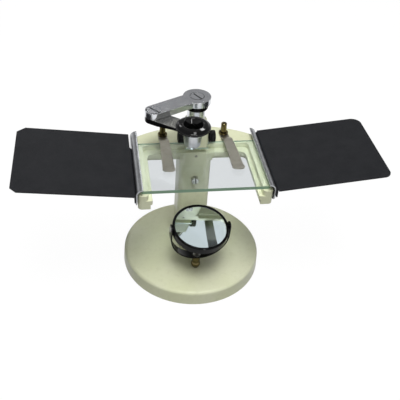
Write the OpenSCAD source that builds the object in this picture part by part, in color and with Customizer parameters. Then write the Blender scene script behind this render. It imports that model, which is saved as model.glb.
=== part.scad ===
// Student dissecting microscope: a round enamelled base carries a column, a horseshoe stage with a
// glass plate, two removable hand rests, a tilting mirror and a folding arm with one lens that a
// rack and pinion raises and lowers. Millimetres, +Z up, the front of the stage faces -Y.
// The origin is the centre of the base's underside.

/* [Part shown] */
// Which sub-part is drawn, or all of them

/* [Base] */
// Diameter of the round base
base_d = 133.6; // [125:0.1:150]
// Height of the base at its rim
base_rim_h = 15; // [13:0.5:20]
// Height of the base at its middle
base_mid_h = 17.5; // [16:0.5:24]
// Radius that rounds the top of the rim
base_round_r = 3; // [2:0.5:5]
// Depth of the relief under the base
relief_h = 1.5; // [0.5:0.5:3]
// Width of the ring that the base stands on
foot_ring_w = 10; // [6:1:16]

/* [Column] */
// Distance of the column axis behind the middle of the base
post_y = 19.5; // [16:0.5:24]
// Width of the column
column_w = 29.2; // [25:0.1:32]
// Depth of the column, front to back
column_d = 30; // [27:0.5:34]
// Radius of the column's upright edges
column_edge_r = 5; // [2:0.5:7]
// Depth that the column is let into the base
column_seat = 3; // [1:0.5:5]
// Shank radius of the bolt that holds the column down
bolt_r = 4; // [3:0.5:5]
// Radius over the corners of the bolt's hexagon head
bolt_head_r = 7.5; // [6:0.5:8.5]
// Thickness of the bolt's head
bolt_head_h = 5; // [4:0.5:6]

/* [Stage] */
// Height of the stage's top face above the table
stage_top = 127; // [118:0.5:135]
// Height of the stage casting
stage_h = 13.5; // [11:0.5:18]
// Overall width of the stage casting
stage_w = 113.6; // [112:0.1:124]
// Distance of the prongs' front ends ahead of the base's middle
stage_front = 59.5; // [50:0.5:64]
// Distance of the rounded back edge behind the base's middle
stage_back = 43.5; // [40:0.5:50]
// Radius of the rounded back edge
stage_back_r = 97; // [85:1:120]
// Width of the opening at the top face
opening_w = 96.4; // [94:0.1:100]
// Back end of the opening at the top face
opening_back = 11; // [9.5:0.5:12]
// Step down from the top face to the inner ledge
ledge_drop = 5; // [3:0.5:6]
// Thickness of the inner ledge
ledge_t = 4; // [3:0.5:5]
// Width of the opening between the ledges
ledge_gap_w = 89.6; // [86:0.1:92]
// Width of the glass plate
glass_w = 107.6; // [104:0.1:111]
// Depth of the glass plate, front to back
glass_d = 68.7; // [66:0.1:72]
// Thickness of the glass plate
glass_t = 3; // [2:0.5:3.5]
// Distance of the glass plate's front edge behind the prongs' ends
glass_setback = 3.3; // [1:0.1:5]
// Height at which the glass plate rests above the enamel
glass_lift = 0.05; // [0.02:0.01:0.1]
// Gap round the rack housing in the glass plate's notch
notch_gap = 0.4; // [0.3:0.1:1]

/* [Rack housing and focusing rod] */
// Width of the rack housing
housing_w = 20; // [19.4:0.2:22]
// Front face of the rack housing, behind the base's middle
housing_front = 3.5; // [2.5:0.5:3.5]
// Height of the rack housing above the stage
housing_h = 23; // [20:0.5:24]
// Outer radius of the housing's sleeve inside the column
sleeve_r = 10; // [9.7:0.1:10.5]
// Length of the sleeve below the stage's top face
sleeve_len = 55; // [45:1:65]
// Radius of the focusing rod
rod_r = 8; // [7.5:0.1:8.2]
// Radial clearance of the focusing rod in its bore
rod_fit = 0.05; // [0.02:0.01:0.1]
// Length of the focusing rod, from its foot to the arm
rod_len = 88; // [75:1:95]
// Height of the arm's underside above the stage's top face
arm_rise = 41; // [40:0.5:46]
// Height of the black collar under the arm
collar_h = 9.5; // [6:0.5:11]
// Radius of the collar at its top
collar_top_r = 10.3; // [9.5:0.1:12]
// Radius of the collar at its foot
collar_foot_r = 9.2; // [8.6:0.1:9.4]

/* [Rack and pinion] */
// Gear module, the pitch diameter for each tooth
gear_m = 0.7; // [0.68:0.01:0.72]
// Number of teeth of the pinion
pinion_teeth = 12; // [11:1:13]
// Pressure angle of the teeth
pressure_a = 20; // [18:0.5:22]
// Tooth height of the pinion above its pitch circle
pinion_add = 0.7; // [0.6:0.05:0.7]
// Tooth depth of the pinion below its pitch circle
pinion_ded = 0.65; // [0.6:0.05:0.7]
// Tooth height of the rack above its pitch line
rack_add = 0.48; // [0.4:0.02:0.5]
// Tooth depth of the rack below its pitch line
rack_ded = 0.85; // [0.8:0.05:0.9]
// Play between the meshed teeth at the pitch line
backlash = 0.12; // [0.08:0.02:0.2]
// Distance of the rack's pitch line ahead of the rod's axis
rack_pitch_y = 5.2; // [5:0.1:5.3]
// Width of the rack
rack_w = 6; // [5.6:0.2:6.4]
// Length of the rack
rack_len = 36; // [34:1:38]
// Width of the pinion's teeth
pinion_w = 5; // [4:0.2:5]
// Height of the pinion's axis above the stage's top face
pinion_rise = 10.6; // [10:0.1:11.5]
// Radius of the pinion's shaft
shaft_r = 2; // [1.6:0.1:2.4]
// Radius of the focusing knobs
knob_r = 5.4; // [5.2:0.1:6.5]
// Length of each focusing knob
knob_len = 6.4; // [5.6:0.1:9]

/* [Folding arm and lens] */
// Position of the arm's elbow to the left of the column
elbow_x = 39.6; // [38:0.1:42]
// Position of the arm's elbow ahead of the base's middle
elbow_y = 1.6; // [1:0.1:3]
// Position of the lens to the left of the column
lens_x = 8.9; // [7:0.1:11]
// Position of the lens ahead of the base's middle
lens_y = 23.3; // [21:0.1:26]
// Thickness of the upper arm
upper_t = 5.5; // [4.5:0.1:6.5]
// Radius of the upper arm's head over the rod
upper_head_r = 12.4; // [11:0.1:13]
// Half the width of the upper arm
upper_half_w = 7.6; // [7.2:0.1:8]
// Radius of the two large slotted screw heads
big_screw_r = 6.4; // [5.8:0.1:6.6]
// Radius of the spigot that the upper arm turns on
spigot_r = 5; // [4.4:0.1:5.4]
// Radius of the shoulder that the elbow turns on
elbow_pin_r = 4; // [3.4:0.1:4.6]
// Radial clearance of the turning joints
pivot_fit = 0.05; // [0.02:0.01:0.1]
// Thickness of the lower arm at the elbow
elbow_t = 4.3; // [3.5:0.1:5.5]
// Thickness of the lower arm round the lens
eye_t = 2.5; // [2:0.1:3]
// Half the width of the lower arm
lower_half_w = 7.6; // [6.8:0.1:8.2]
// Outer radius of the eye that holds the lens
eye_r = 9.6; // [9:0.1:11]
// Outer radius of the eyecup
eyecup_r = 14.8; // [14:0.1:15.8]
// Radius of the eyecup's opening at its top
cup_hole_r = 8.3; // [7.6:0.1:9]
// Outer radius of the lens barrel
barrel_r = 7.5; // [7:0.1:7.8]
// Length of the lens barrel
barrel_len = 18.2; // [15:0.1:21]

/* [Stage clips] */
// Distance of each clip pin from the middle
clip_x = 28.5; // [26:0.1:31]
// Position of the clip pins behind the base's middle
clip_y = 29; // [27:0.5:30]
// Length of a clip from its pin to its tip
clip_len = 63; // [58:0.5:66]
// Width of a clip at its pin
clip_root_w = 8.2; // [7.6:0.1:9]
// Width of a clip at its rounded tip
clip_tip_w = 11; // [9:0.1:12]
// Thickness of a clip
clip_t = 0.8; // [0.6:0.1:1]
// Turn of the right clip towards the side
clip_turn = 3.4; // [0:0.1:5]
// Radius of a clip pin
clip_pin_r = 2.7; // [2.4:0.1:3]
// Height of a clip pin above the stage
clip_pin_h = 12; // [9:0.5:13]

/* [Hand rests] */
// Length of a hand rest, from the stage outwards
rest_len = 97.5; // [85:0.5:105]
// Slope of the hand rests, rising outwards
rest_slope = 6.5; // [3:0.5:8]
// Thickness of the hand rests' sheet
rest_t = 1.2; // [0.8:0.1:1.5]
// Front edge of the hand rests, ahead of the base's middle
rest_front = 63.5; // [60:0.5:66]
// Back edge of the hand rests, behind the base's middle
rest_back = 27.3; // [24:0.1:30]
// Thickness of the steel bracket strip
strip_t = 1.1; // [0.8:0.1:1.2]
// Radius of the strip's inward curl
curl_r = 6; // [5:0.5:6]

/* [Mirror] */
// Distance of the mirror's stem ahead of the base's middle
mirror_y = 31; // [30:0.5:33]
// Height of the mirror's tilting axis above the brass ball
mirror_h = 44.9; // [42:0.1:47]
// Lean of the mirror's fork to the right
fork_lean = 3; // [0:0.5:5]
// Turn of the mirror's fork on its neck
fork_turn = 4; // [-20:1:20]
// Radius of the mirror's bezel
bezel_r = 26.3; // [25:0.1:26.3]
// Depth of the mirror's bezel
bezel_h = 8.5; // [6:0.5:8.5]
// Tilt of the mirror towards the front
mirror_tilt = 11.2; // [0:0.1:30]
// Inner radius of the fork
fork_r = 26.8; // [26.8:0.1:29]
// Thickness of the fork's strap
fork_t = 1.1; // [1:0.1:2]
// Width of the fork's strap
fork_w = 9; // [7:0.5:9.5]
// Length of the fork's straight arms below the tilting axis
fork_leg = 7.1; // [4:0.1:8]
// Radius of the brass ball on the stem
ball_r = 4.4; // [4.2:0.1:5]
// Radius of the neck between the ball and the fork
neck_r = 3.7; // [3.2:0.1:3.8]

/* [Hidden] */
$fn = 96;

cream = [0.80, 0.80, 0.68];
gloss_black = [0.06, 0.06, 0.07];
sheet_black = [0.11, 0.11, 0.12];
steel = [0.62, 0.62, 0.63];
aluminium = [0.72, 0.72, 0.74];
brass = [0.62, 0.52, 0.30];

// Levels
base_r = base_d / 2;
column_foot = base_rim_h - column_seat + 1;
column_top = stage_top - stage_h;
column_bore_z = stage_top - 67;
bolt_foot = 1;
bolt_len = base_mid_h + 24;
stage_bot = stage_top - stage_h;
ledge_top = stage_top - ledge_drop;
glass_back = -stage_front + glass_setback + glass_d;
glass_front = -stage_front + glass_setback;
sleeve_foot = stage_top - sleeve_len;
housing_top = stage_top + housing_h;
arm_z = stage_top + arm_rise;
arm_top = arm_z + upper_t;
head_seat = arm_top - 2;
rod_foot = arm_z - rod_len;
collar_foot = arm_z - collar_h;

// Rack and pinion
pitch_r = gear_m * pinion_teeth / 2;
tooth_pitch = PI * gear_m;
pinion_y = post_y - rack_pitch_y - pitch_r;
pinion_z = stage_top + pinion_rise;
rack_z0 = pinion_z - 23.6;
inv_pa = tan(pressure_a) - pressure_a * PI / 180;
gear_base_r = pitch_r * cos(pressure_a);
half_tooth = (tooth_pitch / 2 - backlash / 2) / 2;

// Folding arm
elbow = [-elbow_x, -elbow_y];
lens_at = [-lens_x, -lens_y];
lower_dir = atan2(lens_at[1] - elbow[1], lens_at[0] - elbow[0]);
lower_span = norm(lens_at - elbow);
boss_top = arm_z - 0.1;
elbow_foot = boss_top - elbow_t;
thread_depth = elbow_t - 0.8;
cup_z = boss_top;
eye_z = cup_z - eye_t;
cup_floor_r = barrel_r - 0.9;
barrel_foot = cup_z - barrel_len;
lens_r = barrel_r - 1.3;
lens_up = 7;
lens_seat = barrel_foot + lens_up;

// Hand rests
side_x = stage_w / 2;
strip_x = side_x + 0.7;
strip_out = strip_x + strip_t;
stud_z = stage_bot + 5.4;
stud_y = [-45, 0];
rivet_y = [-52, -26, -2];
rivet_z = stage_bot + 11.8;
rivet_r = 1.5;
curl_z = stage_top + 1;
sheet_z = stage_top + 2.4;

// Clips: heights above the stage, distances from the pin
clip_bend_0 = 5;
clip_bend_1 = clip_y - glass_back + 0.5;
clip_dip_0 = clip_len * 0.54;
clip_dip_1 = clip_len - 10;
clip_high = glass_lift + glass_t + 1.45;
clip_low = glass_lift + glass_t + 0.15;

// Mirror: heights of the leaning pieces are taken from the middle of the ball
fork_mid = mirror_h - fork_leg;
fork_foot = fork_mid - fork_r - fork_t;
stem_foot = base_mid_h - (base_mid_h - base_rim_h) * mirror_y / (base_r - 3.5) - 0.3;
ball_z = stem_foot + 3.9;
stem_fit = 0.05;
stem_pin_r = 2.5;
mirror_r = bezel_r - 1.4;
glass_pane_t = 3;

module rounded_rect(w, d, r) {
  square([w - 2 * r, d], center = true);
  square([w, d - 2 * r], center = true);
  for (sx = [-1, 1], sy = [-1, 1]) translate([sx * (w / 2 - r), sy * (d / 2 - r)]) circle(r);
}

// Flat link outline between two points
module link(a, b, r) {
  span = norm(b - a);
  translate(a) circle(r);
  translate(b) circle(r);
  translate(a) rotate(atan2(b[1] - a[1], b[0] - a[0])) translate([0, -r]) square([span, 2 * r]);
}

// Screw head lying on its face at z = 0 with a straight slot in its top
module slotted_head(r, h, slot_w, slot_d, turn) {
  difference() {
    cylinder(r = r, h = h);
    rotate(turn) translate([-r - 1, -slot_w / 2, h - slot_d]) cube([2 * r + 2, slot_w, slot_d + 1]);
  }
}

module base_profile() {
  cx = base_r - 0.5 - base_round_r;
  cz = base_rim_h - base_round_r;
  translate([cx, cz]) circle(base_round_r);
  polygon([[0, relief_h], [base_r - foot_ring_w - 1.5, relief_h], [base_r - foot_ring_w, 0],
    [base_r - 0.8, 0], [base_r, 0.8], [base_r - 0.5, cz], [cx, base_rim_h], [0, base_mid_h]]);
}

module base() {
  color(cream) difference() {
    rotate_extrude() base_profile();
    translate([0, post_y, column_foot]) linear_extrude(20) rounded_rect(column_w, column_d, column_edge_r);
    translate([0, post_y, -1]) cylinder(r = bolt_r, h = 30);
    translate([0, post_y, -1]) cylinder(r = bolt_head_r + 1.5, h = 1 + bolt_head_h + 1);
    translate([0, -mirror_y, stem_foot]) cylinder(r = 4.2, h = 5);
    translate([0, -mirror_y, -1]) cylinder(r = 2.5, h = 30);
    translate([0, -mirror_y, -1]) cylinder(r = 7, h = 6.5);
  }
}

module column() {
  color(cream) difference() {
    translate([0, post_y, column_foot]) linear_extrude(column_top - column_foot)
      rounded_rect(column_w, column_d, column_edge_r);
    translate([0, post_y, column_bore_z]) cylinder(r = sleeve_r, h = column_top - column_bore_z + 1);
    translate([0, post_y, 0]) cylinder(r = bolt_r, h = bolt_foot + bolt_len + 1);
    translate([0, post_y, sleeve_foot + 20.7]) rotate([90, 0, 0]) cylinder(r = 1.75, h = 30);
  }
}

module column_bolt() {
  color(steel) translate([0, post_y, bolt_foot]) {
    cylinder(r = bolt_head_r, h = bolt_head_h, $fn = 6);
    cylinder(r = bolt_r, h = bolt_len);
  }
}

module stage_outline() {
  r = 3.5;
  intersection() {
    union() {
      translate([-side_x, -stage_front + r]) square([stage_w, stage_front + stage_back]);
      translate([-side_x + r, -stage_front]) square([stage_w - 2 * r, stage_front]);
      for (s = [-1, 1]) translate([s * (side_x - r), -stage_front + r]) circle(r);
    }
    translate([0, stage_back - stage_back_r]) circle(stage_back_r);
  }
}

// Corners taken off the prongs' front ends beside the opening, which is w wide
module prong_corners(w) {
  r = 3;
  for (s = [-1, 1]) difference() {
    translate([s * (w / 2 + r / 2), -stage_front + r / 2]) square(r + 0.02, center = true);
    translate([s * (w / 2 + r), -stage_front + r]) circle(r);
  }
}

// Opening of the horseshoe: straight sides, open to the front, rounded back corners
module horseshoe_gap(w, back, r) {
  translate([-w / 2, -stage_front - 5]) square([w, stage_front + 5 + back - r]);
  translate([-w / 2 + r, -stage_front - 5]) square([w - 2 * r, stage_front + 5 + back]);
  for (s = [-1, 1]) translate([s * (w / 2 - r), back - r]) circle(r);
}

module stage() {
  boss_w = column_w + 1;
  front_y = post_y - column_d / 2;
  color(cream) difference() {
    union() {
      translate([0, 0, ledge_top]) linear_extrude(ledge_drop) difference() {
        stage_outline();
        horseshoe_gap(opening_w, opening_back, 4);
        prong_corners(opening_w);
      }
      translate([0, 0, ledge_top - ledge_t]) linear_extrude(ledge_t) difference() {
        stage_outline();
        horseshoe_gap(ledge_gap_w, front_y, 6);
        for (s = [-1, 1]) translate([s * (ledge_gap_w / 2 - 2), -stage_front - 3]) rotate(s * 35)
          square([8, 12], center = true);
      }
      translate([0, 0, stage_bot]) linear_extrude(ledge_top - ledge_t - stage_bot) difference() {
        stage_outline();
        difference() {
          horseshoe_gap(ledge_gap_w + 3.4, front_y + 3, 5);
          translate([-boss_w / 2, front_y]) square([boss_w, 20]);
        }
      }
    }
    // Pockets under the bridge, on both sides of the boss on the column
    for (s = [-1, 1]) translate([0, 0, stage_bot - 1]) linear_extrude(6.5) intersection() {
      translate([s > 0 ? boss_w / 2 + 4 : -side_x + 6, front_y + 8]) square([side_x - 6 - boss_w / 2 - 4, 40]);
      translate([0, stage_back - stage_back_r]) circle(stage_back_r - 6);
    }
    translate([0, post_y, stage_bot - 1]) cylinder(r = sleeve_r, h = stage_h + 2);
    translate([0, post_y, stage_bot + 4.5]) rotate([90, 0, 0]) cylinder(r = 1.5, h = 30);
    for (s = [-1, 1]) translate([s * clip_x, clip_y, stage_bot - 1]) cylinder(r = 2, h = stage_h + 2);
    for (s = [-1, 1], y = stud_y) translate([s * (side_x + 1), y, stud_z]) rotate([0, -s * 90, 0])
      cylinder(r = 1.5, h = 7);
  }
}

module rest_studs() {
  color(steel) for (s = [-1, 1], y = stud_y) translate([s * (side_x - 6), y, stud_z]) rotate([0, s * 90, 0]) {
    cylinder(r = 1.5, h = 6.5);
    translate([0, 0, 6]) cylinder(r = 2, h = strip_out - side_x + 0.4);
    translate([0, 0, strip_out - side_x + 6.3]) slotted_head(3.2, 1.3, 0.7, 0.6, 25);
  }
}

module glass_plate() {
  notch_w = housing_w + 2 * notch_gap;
  plate_z = stage_top + glass_lift;
  color([0.75, 0.87, 0.82, 0.45]) translate([0, 0, plate_z]) linear_extrude(glass_t) difference() {
    translate([0, glass_front + glass_d / 2]) rounded_rect(glass_w, glass_d, 1);
    translate([-notch_w / 2, housing_front - notch_gap]) square([notch_w, glass_d]);
  }
}

module rack_housing() {
  color(cream) difference() {
    union() {
      translate([0, 0, stage_top]) linear_extrude(housing_h) {
        translate([0, post_y]) circle(housing_w / 2);
        translate([-housing_w / 2, housing_front + 3]) square([housing_w, post_y - housing_front - 3]);
        translate([-housing_w / 2 + 3, housing_front]) square([housing_w - 6, 10]);
        for (s = [-1, 1]) translate([s * (housing_w / 2 - 3), housing_front + 3]) circle(3);
      }
      translate([0, post_y, sleeve_foot]) cylinder(r = sleeve_r, h = sleeve_len + 1);
    }
    translate([0, post_y, sleeve_foot - 1]) cylinder(r = rod_r + rod_fit, h = sleeve_len + housing_h + 2);
    // Chamber of the pinion, open to the rod's bore
    translate([-pinion_w / 2 - 0.5, pinion_y, pinion_z]) rotate([0, 90, 0])
      cylinder(r = pitch_r + pinion_add + 0.3, h = pinion_w + 1);
    // Bore of the shaft, wide on the left for the bush
    translate([0, pinion_y, pinion_z]) rotate([0, 90, 0]) cylinder(r = shaft_r + pivot_fit, h = 20);
    translate([-20, pinion_y, pinion_z]) rotate([0, 90, 0])
      cylinder(r = pitch_r + pinion_add + 0.3, h = 20 - pinion_w / 2);
    translate([0, post_y, sleeve_foot + 20.7]) rotate([90, 0, 0]) cylinder(r = 1.75, h = 12);
  }
}

module sleeve_screw() {
  depth = column_d / 2 - rod_r - 0.3;
  color(steel) translate([0, post_y - column_d / 2, sleeve_foot + 20.7]) rotate([90, 0, 0]) {
    slotted_head(3.4, 4.2, 0.9, 1.6, 90);
    translate([0, 0, -depth]) cylinder(r = 1.75, h = depth + 0.5);
  }
}

module grub_screw() {
  y0 = post_y - column_d / 2;
  color(steel) translate([0, y0 + 5, stage_bot + 4.5]) rotate([90, 0, 0]) slotted_head(1.5, 4.6, 0.6, 0.8, 60);
}

module pinion_bush() {
  x0 = -housing_w / 2;
  x1 = -pinion_w / 2 - 0.4;
  color(brass) translate([x0, pinion_y, pinion_z]) rotate([0, 90, 0]) difference() {
    intersection() {
      cylinder(r = pitch_r + pinion_add + 0.3, h = x1 - x0);
      // The bush is relieved where the rod passes behind it
      translate([-10, -20, 0]) cube([20, 20 + post_y - rod_r - 0.15 - pinion_y, 20]);
    }
    translate([0, 0, -1]) cylinder(r = shaft_r + pivot_fit, h = 20);
  }
}

module focus_rod() {
  color(steel) difference() {
    union() {
      translate([0, post_y, rod_foot]) cylinder(r = rod_r, h = rod_len - 0.05);
      translate([0, post_y, arm_z - 1]) cylinder(r = spigot_r, h = 1 + head_seat - arm_z + 0.05);
    }
    // Slot for the rack, which runs on above it to clear the pinion at the lowest setting
    translate([-rack_w / 2, post_y - rod_r - 1, rack_z0]) cube([rack_w, rod_r + 1 - 2, rack_len + 2.5]);
    translate([0, post_y, arm_z - 14]) cylinder(r = 2.5, h = 40);
  }
}

// Rack in its plane of travel: u along the rod, v from the pitch line towards the pinion
module rack_outline() {
  n = floor((rack_len - 3) / tooth_pitch);
  below = floor((pinion_z - rack_z0 - 1.5) / tooth_pitch) - 0.5;
  foot = rack_z0 - pinion_z;
  t = tan(pressure_a);
  b = half_tooth;
  polygon(concat(
    [[foot, 2 - rack_pitch_y], [foot, -rack_ded]],
    [for (i = [0 : n - 1], c = [[-b - rack_ded * t, -rack_ded], [-b + rack_add * t, rack_add],
      [b - rack_add * t, rack_add], [b + rack_ded * t, -rack_ded]])
      [(i - below) * tooth_pitch + c[0], c[1]]],
    [[foot + rack_len, -rack_ded], [foot + rack_len, 2 - rack_pitch_y]]));
}

module rack() {
  color(brass) translate([-rack_w / 2, post_y - rack_pitch_y, pinion_z]) rotate([0, -90, 180])
    linear_extrude(rack_w) rack_outline();
}

module collar() {
  color(gloss_black) translate([0, post_y, collar_foot]) rotate_extrude() polygon([[rod_r, 0],
    [collar_foot_r - 0.6, 0], [collar_foot_r, 0.8], [collar_foot_r + 0.4, 4.5], [collar_top_r, 6.5],
    [collar_top_r, collar_h - 0.05], [rod_r, collar_h - 0.05]]);
}

module head_screw() {
  color(steel) translate([0, post_y, head_seat + 0.05]) {
    slotted_head(big_screw_r - 0.3, 2.05, 1.2, 1, -58);
    translate([0, 0, -15]) cylinder(r = 2.5, h = 15.5);
  }
}

// One flank point of the involute at radius r, turned back from the tooth's middle
function flank(r, side) = let(
    a = acos(gear_base_r / r),
    inv_a = tan(a) - a * PI / 180,
    half = (half_tooth / pitch_r + inv_pa - inv_a) * 180 / PI)
  [r * sin(side * half), r * cos(side * half)];

module pinion_outline() {
  r0 = pitch_r - pinion_ded;
  ra = pitch_r + pinion_add;
  rb = gear_base_r + 0.02;
  root_half = (half_tooth / pitch_r + inv_pa) * 180 / PI - 1;
  circle(r0);
  for (i = [0 : pinion_teeth - 1]) rotate(i * 360 / pinion_teeth) polygon(concat(
    [[-(r0 - 0.6) * sin(root_half), (r0 - 0.6) * cos(root_half)]],
    [[-r0 * sin(root_half), r0 * cos(root_half)]],
    [for (k = [0 : 6]) flank(rb + (ra - rb) * k / 6, -1)],
    [for (k = [6 : -1 : 0]) flank(rb + (ra - rb) * k / 6, 1)],
    [[r0 * sin(root_half), r0 * cos(root_half)]],
    [[(r0 - 0.6) * sin(root_half), (r0 - 0.6) * cos(root_half)]]));
}

module pinion() {
  reach = housing_w / 2 + knob_len - 1;
  color(brass) translate([0, pinion_y, pinion_z]) rotate([0, 90, 0]) {
    translate([0, 0, -pinion_w / 2]) linear_extrude(pinion_w) pinion_outline();
    translate([0, 0, -reach]) cylinder(r = shaft_r, h = 2 * reach);
  }
}

module knob(side) {
  color(gloss_black) translate([side * (housing_w / 2 + 0.6), pinion_y, pinion_z]) rotate([0, side * 90, 0])
    rotate_extrude() {
      translate([knob_r - 1.2, knob_len - 1.2]) circle(1.2);
      polygon([[0, knob_len - 1.5], [shaft_r, knob_len - 1.5], [shaft_r, 0], [knob_r - 0.9, 0], [knob_r, 0.9],
        [knob_r, knob_len - 1.2], [knob_r - 1.2, knob_len], [2.6, knob_len], [2, knob_len - 0.4],
        [0, knob_len - 0.4]]);
    }
}

module upper_arm() {
  color(steel) difference() {
    translate([0, 0, arm_z]) linear_extrude(upper_t) {
      translate([0, post_y]) circle(upper_head_r);
      link([0, post_y], elbow, upper_half_w);
    }
    translate([0, post_y, arm_z - 1]) cylinder(r = spigot_r + pivot_fit, h = 20);
    translate([0, post_y, head_seat]) cylinder(r = big_screw_r + 0.15, h = 20);
    translate([elbow[0], elbow[1], arm_z - 1]) cylinder(r = elbow_pin_r + pivot_fit, h = 20);
    translate([elbow[0], elbow[1], head_seat]) cylinder(r = big_screw_r + 0.15, h = 20);
  }
}

module joint_screw() {
  color(steel) translate([elbow[0], elbow[1], head_seat + 0.05]) {
    slotted_head(big_screw_r - 0.3, 2.05, 1.2, 1, -48);
    translate([0, 0, boss_top - head_seat - 0.05]) cylinder(r = elbow_pin_r, h = head_seat - boss_top + 0.3);
    translate([0, 0, boss_top - head_seat - thread_depth]) cylinder(r = 2.5, h = thread_depth + 0.5);
  }
}

// Lower arm: level on top, thick at the elbow and thinner round the lens barrel
module lower_arm() {
  s0 = lower_half_w;
  s1 = lower_span - eyecup_r;
  color(gloss_black) difference() {
    intersection() {
      translate([0, 0, elbow_foot - 5]) linear_extrude(elbow_t + 10) {
        link(elbow, lens_at, lower_half_w);
        translate(lens_at) circle(eye_r);
      }
      translate([elbow[0], elbow[1], 0]) rotate(lower_dir) translate([0, 20, 0]) rotate([90, 0, 0])
        linear_extrude(40) polygon([[-20, elbow_foot], [s0, elbow_foot], [s1, eye_z],
          [lower_span + 20, eye_z], [lower_span + 20, boss_top], [-20, boss_top]]);
    }
    translate([lens_at[0], lens_at[1], eye_z - 5]) cylinder(r = barrel_r, h = 30);
    translate([elbow[0], elbow[1], boss_top - thread_depth - 0.2]) cylinder(r = 2.5, h = 20);
  }
}

module eyecup() {
  color(gloss_black) translate([lens_at[0], lens_at[1], cup_z]) rotate_extrude() {
    translate([eyecup_r - 1.8, 1.8]) circle(1.8);
    translate([cup_hole_r + 0.9, 3.8]) circle(1);
    polygon([[cup_floor_r, 0], [eyecup_r - 1.8, 0], [eyecup_r - 0.3, 0.8], [eyecup_r - 1.2, 3.49],
      [eyecup_r - 2.8, 4.5], [cup_hole_r + 1.1, 4.78], [cup_hole_r + 0.05, 4.3], [cup_floor_r, 0.6]]);
  }
}

module lens_barrel() {
  h = barrel_len;
  bore = lens_r;
  color(aluminium) translate([lens_at[0], lens_at[1], barrel_foot]) rotate_extrude() polygon([
    [3.8, 0], [4.4, 0], [4.9, 0.4], [barrel_r - 0.5, 3.6], [barrel_r, 8], [barrel_r, h - eye_t - 1.1],
    [barrel_r + 0.7, h - eye_t - 0.9], [barrel_r + 0.7, h - eye_t], [barrel_r, h - eye_t], [barrel_r, h],
    [bore, h], [bore, lens_up], [bore - 1.2, lens_up], [bore - 1.2, lens_up - 2], [3.8, 1.2]]);
}

module lens() {
  r = lens_r;
  edge_t = 1.6;
  sag = 1.45;
  ball = (r * r + sag * sag) / (2 * sag);
  z0 = lens_seat + sag;
  color([0.85, 0.9, 0.92, 0.4]) translate([lens_at[0], lens_at[1], z0]) intersection() {
    translate([0, 0, -5]) cylinder(r = r, h = 12);
    translate([0, 0, ball - sag]) sphere(ball);
    translate([0, 0, edge_t - ball + sag]) sphere(ball);
  }
}

module clip_pins() {
  color(brass) for (s = [-1, 1]) translate([s * clip_x, clip_y, stage_top]) {
    translate([0, 0, -10]) cylinder(r = 2, h = 11);
    rotate_extrude() polygon([[0, 0], [clip_pin_r, 0], [clip_pin_r, clip_pin_h - 0.6],
      [clip_pin_r - 0.5, clip_pin_h - 0.1], [clip_pin_r - 1, clip_pin_h], [0, clip_pin_h]]);
  }
}

module clip_washers() {
  color(brass) for (s = [-1, 1]) translate([s * clip_x, clip_y, stage_top + clip_t + 0.2]) difference() {
    cylinder(r = 4.3, h = 1.3);
    translate([0, 0, -1]) cylinder(r = clip_pin_r, h = 4);
  }
}

// Height of the clip's underside above the stage, at distance s from its pin
function ease(s, s0, s1) = (1 - cos((s - s0) * 180 / (s1 - s0))) / 2;
function clip_rise(s) = s <= clip_bend_0 ? 0.1
  : s < clip_bend_1 ? 0.1 + (clip_high - 0.1) * ease(s, clip_bend_0, clip_bend_1)
  : s <= clip_dip_0 ? clip_high
  : s < clip_dip_1 ? clip_high + (clip_low - clip_high) * ease(s, clip_dip_0, clip_dip_1)
  : clip_low + 0.018 * (s - clip_dip_1) * (s - clip_dip_1);

module clip() {
  tip_r = clip_tip_w / 2;
  root_r = clip_root_w / 2;
  span = clip_len - tip_r;
  steps = concat([-root_r - 1],
    [for (k = [0 : 6]) clip_bend_0 + (clip_bend_1 - clip_bend_0) * k / 6],
    [for (k = [0 : 6]) clip_dip_0 + (clip_dip_1 - clip_dip_0) * k / 6],
    [for (k = [1 : 5]) clip_dip_1 + (clip_len + 1 - clip_dip_1) * k / 5]);
  color(steel) intersection() {
    rotate([90, 0, -90]) mirror([1, 0, 0]) translate([0, 0, -10]) linear_extrude(20) polygon(concat(
      [for (s = steps) [-s, clip_rise(s)]],
      [for (i = [len(steps) - 1 : -1 : 0]) [-steps[i], clip_rise(steps[i]) + clip_t]]));
    translate([0, 0, -1]) linear_extrude(glass_t + 12) difference() {
      union() {
        circle(root_r);
        translate([0, -span]) circle(tip_r);
        polygon([[-root_r, 0], [-root_r, -8], [-tip_r * cos(20), tip_r * sin(20) - span],
          [tip_r * cos(20), tip_r * sin(20) - span], [root_r, -8], [root_r, 0]]);
      }
      circle(clip_pin_r + pivot_fit);
    }
  }
}

module clip_left() {
  translate([-clip_x, clip_y, stage_top]) clip();
}

module clip_right() {
  translate([clip_x, clip_y, stage_top]) rotate(clip_turn) clip();
}

// Outline of the right hand rest, with rounded outer corners
module rest_outline() {
  back_r = 9;
  front_r = 6;
  difference() {
    translate([0, -rest_front]) square([rest_len, rest_back + rest_front]);
    translate([rest_len - back_r, rest_back - back_r]) square(back_r + 1);
    translate([rest_len - front_r, -rest_front - 1]) square(front_r + 1);
  }
  translate([rest_len - back_r, rest_back - back_r]) circle(back_r);
  translate([rest_len - front_r, front_r - rest_front]) circle(front_r);
}

// Outline of the left hand rest before it is mirrored, with its outer corners cut off
module rest_outline_cut() {
  back = 7;
  front = 5;
  polygon([[0, -rest_front], [rest_len - front, -rest_front], [rest_len, front - rest_front],
    [rest_len, rest_back - back], [rest_len - back, rest_back], [0, rest_back]]);
}

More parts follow.
